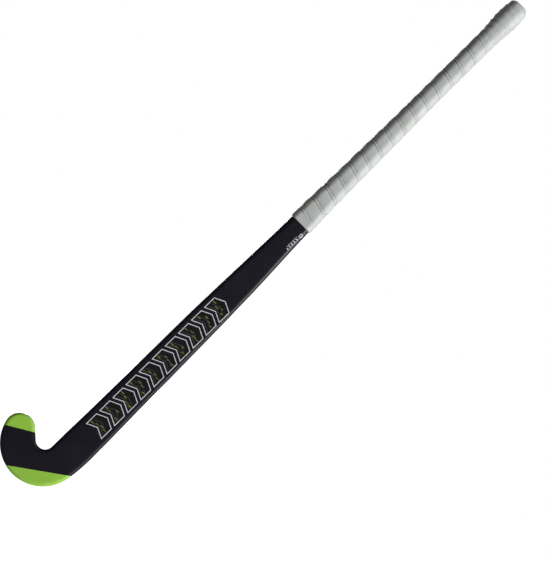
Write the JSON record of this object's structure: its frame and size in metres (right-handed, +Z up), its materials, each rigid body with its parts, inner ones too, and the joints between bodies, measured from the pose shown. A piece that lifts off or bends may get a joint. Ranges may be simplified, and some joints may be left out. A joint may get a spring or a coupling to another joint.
{
  "type": "field hockey stick",
  "caption": "Hooked composite stick with a flat playing face, a rounded back, a gently bowed shaft and a spirally wrapped handle.",
  "frame": {"origin": "on the ground under the middle of the whole stick, below the lowest point of the head", "axes": "+Z up along the handle, -Y the way the flat playing face looks, -X the way the toe points"},
  "size_m": [0.1174, 0.0572, 0.927],
  "materials": {
    "lacquered_composite": "satin black-aubergine lacquer over a fine weave, lime green toe and heel panels",
    "aramid_ply": "resin-filled golden aramid cloth",
    "core_foam": "rigid pale foam",
    "inner_laminate": "black resin-filled cloth",
    "nylon_film": "milky film",
    "damping_foam": "soft dark foam",
    "butt_cap_plastic": "soft moulded cap",
    "underlay_tape": "double-sided cloth tape",
    "grip_wrap": "off-white cushioned polyurethane, matt, wound in a left-handed spiral"
  },
  "bodies": {
    "root": {"composite_body": "lacquered_composite", "face_impact_ply": "aramid_ply", "back_impact_ply": "aramid_ply", "head_core": "core_foam", "toe_side_tube": "inner_laminate", "heel_side_tube": "inner_laminate", "toe_side_bladder": "nylon_film", "heel_side_bladder": "nylon_film", "toe_side_handle_foam": "damping_foam", "heel_side_handle_foam": "damping_foam", "toe_side_butt_plug": "damping_foam", "heel_side_butt_plug": "damping_foam", "butt_cap": "butt_cap_plastic", "grip_underlay": "underlay_tape", "grip_wrap": "grip_wrap"}
  },
  "joints": []
}
